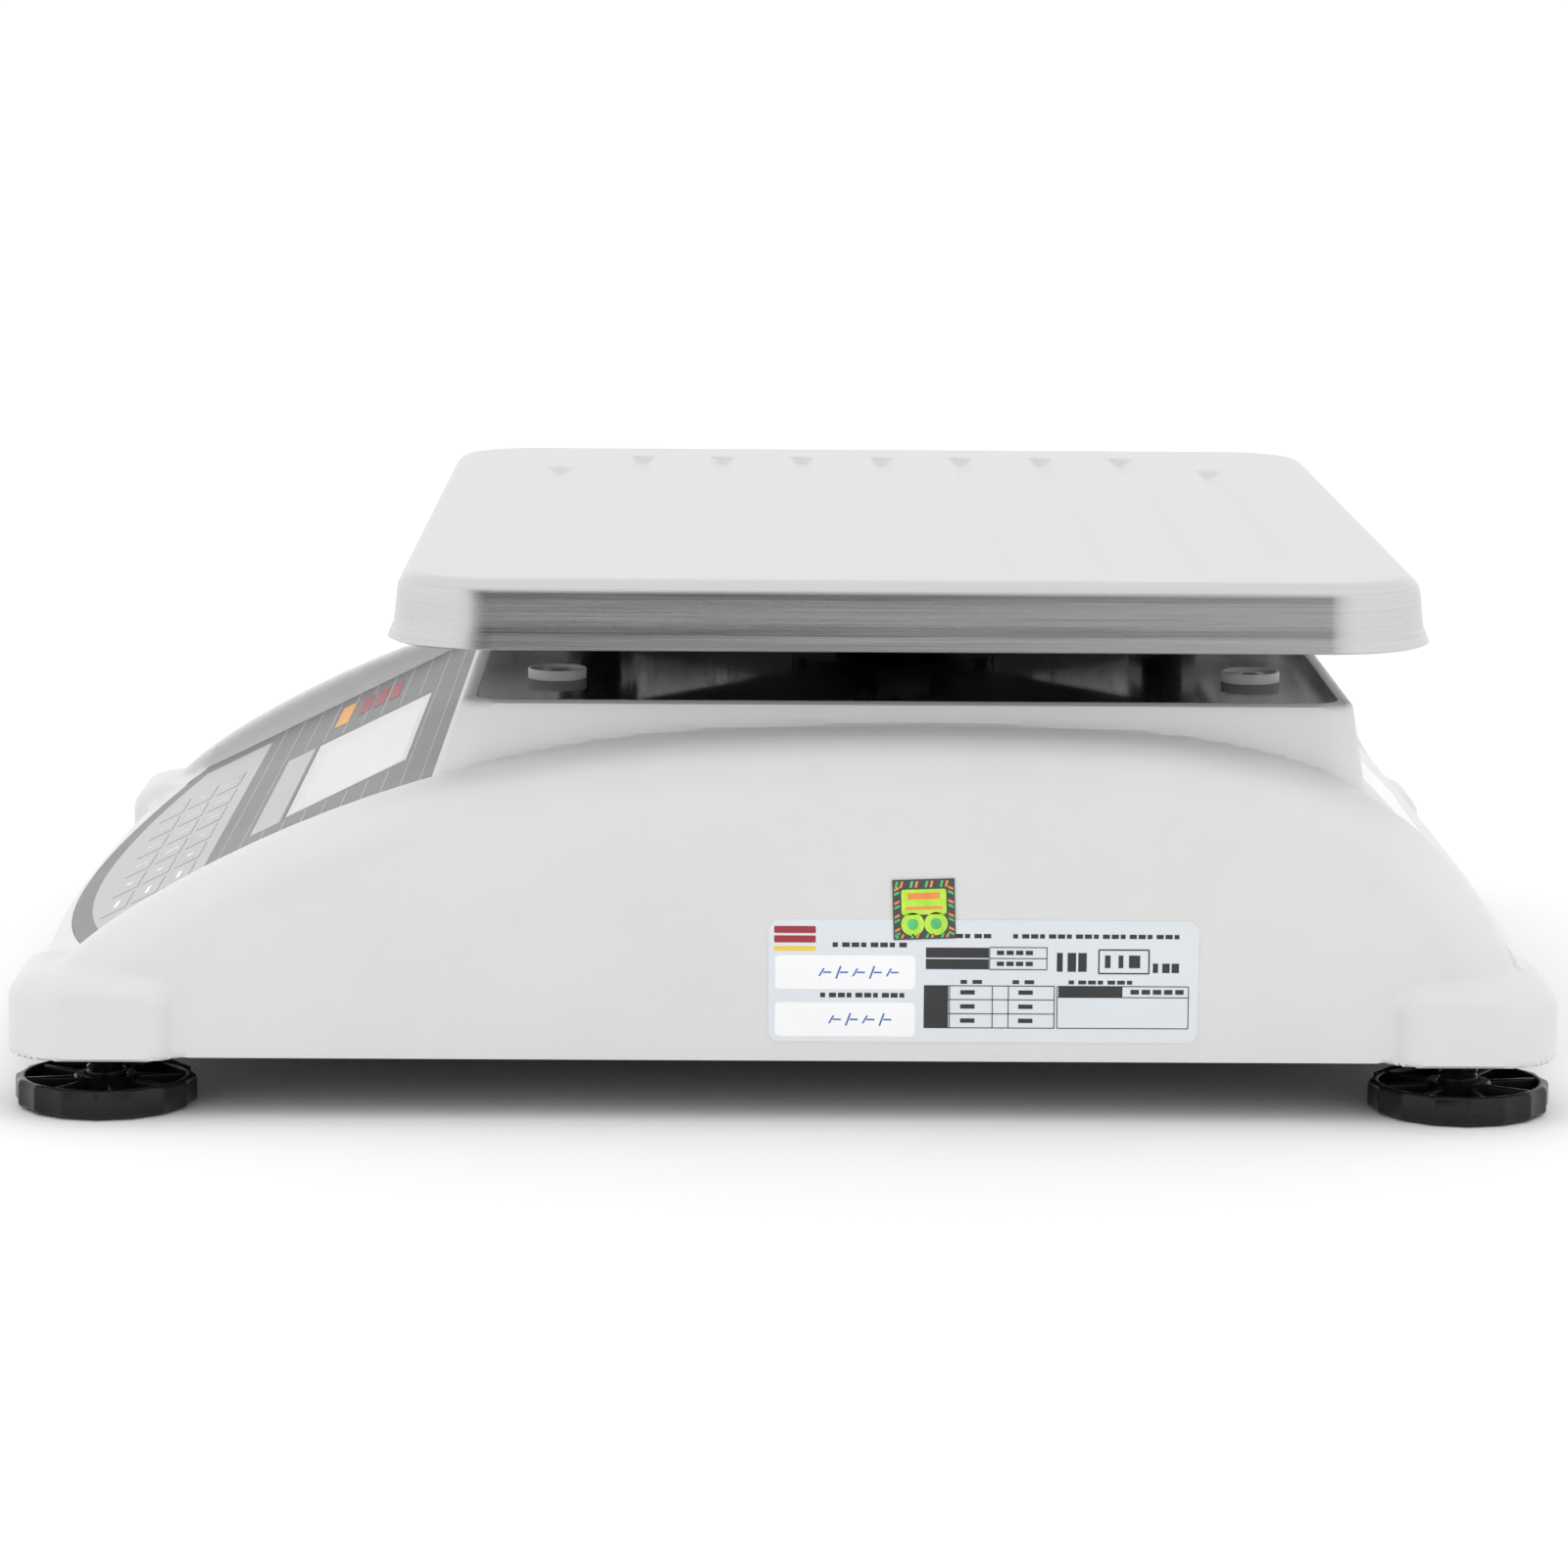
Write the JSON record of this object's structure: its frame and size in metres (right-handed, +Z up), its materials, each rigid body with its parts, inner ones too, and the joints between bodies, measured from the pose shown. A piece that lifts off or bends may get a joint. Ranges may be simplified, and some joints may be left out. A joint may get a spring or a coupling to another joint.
{
  "type": "retail price scale",
  "caption": "Low white retail scale with arched cheeks, ribbed steel pan on a load cell, sloping keypad and display panel, and levelling feet.",
  "frame": {"origin": "on the table at the centre of the footprint, under the four foot pads", "axes": "+Z up; the operator stands at -Y and faces +Y; +X is to the operator's right"},
  "size_m": [0.34, 0.396, 0.136],
  "materials": {
    "housing": "satin",
    "base": "matte",
    "deck": "gloss",
    "collar": "satin",
    "fastener": "satin",
    "vial": "gloss",
    "overlay": "satin",
    "key": "satin",
    "window": "gloss",
    "display_module": "satin",
    "circuit_board": "satin",
    "battery": "satin",
    "strap": "satin",
    "black_plastic": "satin",
    "rocker": "gloss",
    "load_cell": "satin",
    "aluminium": "satin",
    "carrier": "satin",
    "rubber": "matte",
    "pan": "brushed",
    "brass": "satin",
    "cable": "matte",
    "ribbon": "satin",
    "label": "satin",
    "seal": "gloss",
    "foot": "satin"
  },
  "bodies": {
    "housing": {"upper_housing": "housing", "base_plate": "base", "deck_plate": "deck", "deck_collars": "collar", "deck_screws": "fastener", "level_vial": "vial", "keypad_overlay": "overlay", "keypad_board": "circuit_board", "display_window": "window", "lcd_module": "display_module", "display_board": "circuit_board", "rear_window": "window", "rear_lcd_module": "display_module", "main_board": "circuit_board", "battery": "battery", "battery_strap": "strap", "power_socket": "black_plastic", "power_switch_frame": "black_plastic", "load_cell": "load_cell", "load_cell_spacer": "aluminium", "load_cell_bolts": "fastener", "foot_inserts": "brass", "housing_screws": "fastener", "board_screws": "fastener", "load_cell_cable": "cable", "display_ribbon": "ribbon", "rating_label": "label", "seal_label": "seal"},
    "platform": {"bracket_bolts": "fastener", "platform_bracket": "aluminium", "pan_carrier": "carrier", "pan_pads": "rubber"},
    "pan": {"weighing_pan": "pan"},
    "rocker": {"power_rocker": "rocker"},
    "pad_front_left": {"foot_pad_front_left": "rubber"},
    "wheel_front_left": {"foot_wheel_front_left": "foot"},
    "pad_front_right": {"foot_pad_front_right": "rubber"},
    "wheel_front_right": {"foot_wheel_front_right": "foot"},
    "pad_rear_left": {"foot_pad_rear_left": "rubber"},
    "wheel_rear_left": {"foot_wheel_rear_left": "foot"},
    "pad_rear_right": {"foot_pad_rear_right": "rubber"},
    "wheel_rear_right": {"foot_wheel_rear_right": "foot"},
    "key_1_1": {"key_1_1": "key"},
    "key_1_2": {"key_1_2": "key"},
    "key_1_3": {"key_1_3": "key"},
    "key_1_4": {"key_1_4": "key"},
    "key_1_5": {"key_1_5": "key"},
    "key_1_6": {"key_1_6": "key"},
    "key_2_1": {"key_2_1": "key"},
    "key_2_2": {"key_2_2": "key"},
    "key_2_3": {"key_2_3": "key"},
    "key_2_4": {"key_2_4": "key"},
    "key_2_5": {"key_2_5": "key"},
    "key_2_6": {"key_2_6": "key"},
    "key_3_1": {"key_3_1": "key"},
    "key_3_2": {"key_3_2": "key"},
    "key_3_3": {"key_3_3": "key"},
    "key_3_4": {"key_3_4": "key"},
    "key_3_5": {"key_3_5": "key"},
    "key_3_6": {"key_3_6": "key"}
  },
  "joints": [
    {"name": "platform_travel", "type": "slide", "parent": "housing", "child": "platform", "axis": [0, 0, 1], "range_m": [-0.0004, 0], "stiffness_N_per_m": 60000, "springref_m": 0.00025},
    {"name": "pan_lift", "type": "slide", "parent": "platform", "child": "pan", "axis": [0, 0, 1], "range_m": [0, 0.05]},
    {"name": "rocker_tilt", "type": "hinge", "parent": "housing", "child": "rocker", "pos_m": [-0.1608, 0.0959, 0.042], "axis": [0, 1, 0], "range_deg": [-8, 8]},
    {"name": "foot_travel_front_left", "type": "slide", "parent": "housing", "child": "pad_front_left", "axis": [0, 0, -1], "range_m": [-0.006, 0.006]},
    {"name": "foot_turn_front_left", "type": "hinge", "parent": "pad_front_left", "child": "wheel_front_left", "pos_m": [-0.147, -0.1715, 0.005], "axis": [0, 0, 1], "range_deg": [-1440, 1440]},
    {"name": "foot_travel_front_right", "type": "slide", "parent": "housing", "child": "pad_front_right", "axis": [0, 0, -1], "range_m": [-0.006, 0.006]},
    {"name": "foot_turn_front_right", "type": "hinge", "parent": "pad_front_right", "child": "wheel_front_right", "pos_m": [0.147, -0.1715, 0.005], "axis": [0, 0, 1], "range_deg": [-1440, 1440]},
    {"name": "foot_travel_rear_left", "type": "slide", "parent": "housing", "child": "pad_rear_left", "axis": [0, 0, -1], "range_m": [-0.006, 0.006]},
    {"name": "foot_turn_rear_left", "type": "hinge", "parent": "pad_rear_left", "child": "wheel_rear_left", "pos_m": [-0.147, 0.1715, 0.005], "axis": [0, 0, 1], "range_deg": [-1440, 1440]},
    {"name": "foot_travel_rear_right", "type": "slide", "parent": "housing", "child": "pad_rear_right", "axis": [0, 0, -1], "range_m": [-0.006, 0.006]},
    {"name": "foot_turn_rear_right", "type": "hinge", "parent": "pad_rear_right", "child": "wheel_rear_right", "pos_m": [0.147, 0.1715, 0.005], "axis": [0, 0, 1], "range_deg": [-1440, 1440]},
    {"name": "key_1_1_press", "type": "slide", "parent": "housing", "child": "key_1_1", "axis": [0, 0.4431, -0.8965], "range_m": [0, 0.0005], "stiffness_N_per_m": 200, "springref_m": -0.0004},
    {"name": "key_1_2_press", "type": "slide", "parent": "housing", "child": "key_1_2", "axis": [0, 0.4431, -0.8965], "range_m": [0, 0.0005], "stiffness_N_per_m": 200, "springref_m": -0.0004},
    {"name": "key_1_3_press", "type": "slide", "parent": "housing", "child": "key_1_3", "axis": [0, 0.4431, -0.8965], "range_m": [0, 0.0005], "stiffness_N_per_m": 200, "springref_m": -0.0004},
    {"name": "key_1_4_press", "type": "slide", "parent": "housing", "child": "key_1_4", "axis": [0, 0.4431, -0.8965], "range_m": [0, 0.0005], "stiffness_N_per_m": 200, "springref_m": -0.0004},
    {"name": "key_1_5_press", "type": "slide", "parent": "housing", "child": "key_1_5", "axis": [0, 0.4431, -0.8965], "range_m": [0, 0.0005], "stiffness_N_per_m": 200, "springref_m": -0.0004},
    {"name": "key_1_6_press", "type": "slide", "parent": "housing", "child": "key_1_6", "axis": [0, 0.4431, -0.8965], "range_m": [0, 0.0005], "stiffness_N_per_m": 200, "springref_m": -0.0004},
    {"name": "key_2_1_press", "type": "slide", "parent": "housing", "child": "key_2_1", "axis": [0, 0.4431, -0.8965], "range_m": [0, 0.0005], "stiffness_N_per_m": 200, "springref_m": -0.0004},
    {"name": "key_2_2_press", "type": "slide", "parent": "housing", "child": "key_2_2", "axis": [0, 0.4431, -0.8965], "range_m": [0, 0.0005], "stiffness_N_per_m": 200, "springref_m": -0.0004},
    {"name": "key_2_3_press", "type": "slide", "parent": "housing", "child": "key_2_3", "axis": [0, 0.4431, -0.8965], "range_m": [0, 0.0005], "stiffness_N_per_m": 200, "springref_m": -0.0004},
    {"name": "key_2_4_press", "type": "slide", "parent": "housing", "child": "key_2_4", "axis": [0, 0.4431, -0.8965], "range_m": [0, 0.0005], "stiffness_N_per_m": 200, "springref_m": -0.0004},
    {"name": "key_2_5_press", "type": "slide", "parent": "housing", "child": "key_2_5", "axis": [0, 0.4431, -0.8965], "range_m": [0, 0.0005], "stiffness_N_per_m": 200, "springref_m": -0.0004},
    {"name": "key_2_6_press", "type": "slide", "parent": "housing", "child": "key_2_6", "axis": [0, 0.4431, -0.8965], "range_m": [0, 0.0005], "stiffness_N_per_m": 200, "springref_m": -0.0004},
    {"name": "key_3_1_press", "type": "slide", "parent": "housing", "child": "key_3_1", "axis": [0, 0.4431, -0.8965], "range_m": [0, 0.0005], "stiffness_N_per_m": 200, "springref_m": -0.0004},
    {"name": "key_3_2_press", "type": "slide", "parent": "housing", "child": "key_3_2", "axis": [0, 0.4431, -0.8965], "range_m": [0, 0.0005], "stiffness_N_per_m": 200, "springref_m": -0.0004},
    {"name": "key_3_3_press", "type": "slide", "parent": "housing", "child": "key_3_3", "axis": [0, 0.4431, -0.8965], "range_m": [0, 0.0005], "stiffness_N_per_m": 200, "springref_m": -0.0004},
    {"name": "key_3_4_press", "type": "slide", "parent": "housing", "child": "key_3_4", "axis": [0, 0.4431, -0.8965], "range_m": [0, 0.0005], "stiffness_N_per_m": 200, "springref_m": -0.0004},
    {"name": "key_3_5_press", "type": "slide", "parent": "housing", "child": "key_3_5", "axis": [0, 0.4431, -0.8965], "range_m": [0, 0.0005], "stiffness_N_per_m": 200, "springref_m": -0.0004},
    {"name": "key_3_6_press", "type": "slide", "parent": "housing", "child": "key_3_6", "axis": [0, 0.4431, -0.8965], "range_m": [0, 0.0005], "stiffness_N_per_m": 200, "springref_m": -0.0004}
  ],
  "couplings": [
    {"joint": "foot_travel_front_left", "follows": "foot_turn_front_left", "m_per_rad": 0.00023873},
    {"joint": "foot_travel_front_right", "follows": "foot_turn_front_right", "m_per_rad": 0.00023873},
    {"joint": "foot_travel_rear_left", "follows": "foot_turn_rear_left", "m_per_rad": 0.00023873},
    {"joint": "foot_travel_rear_right", "follows": "foot_turn_rear_right", "m_per_rad": 0.00023873}
  ]
}
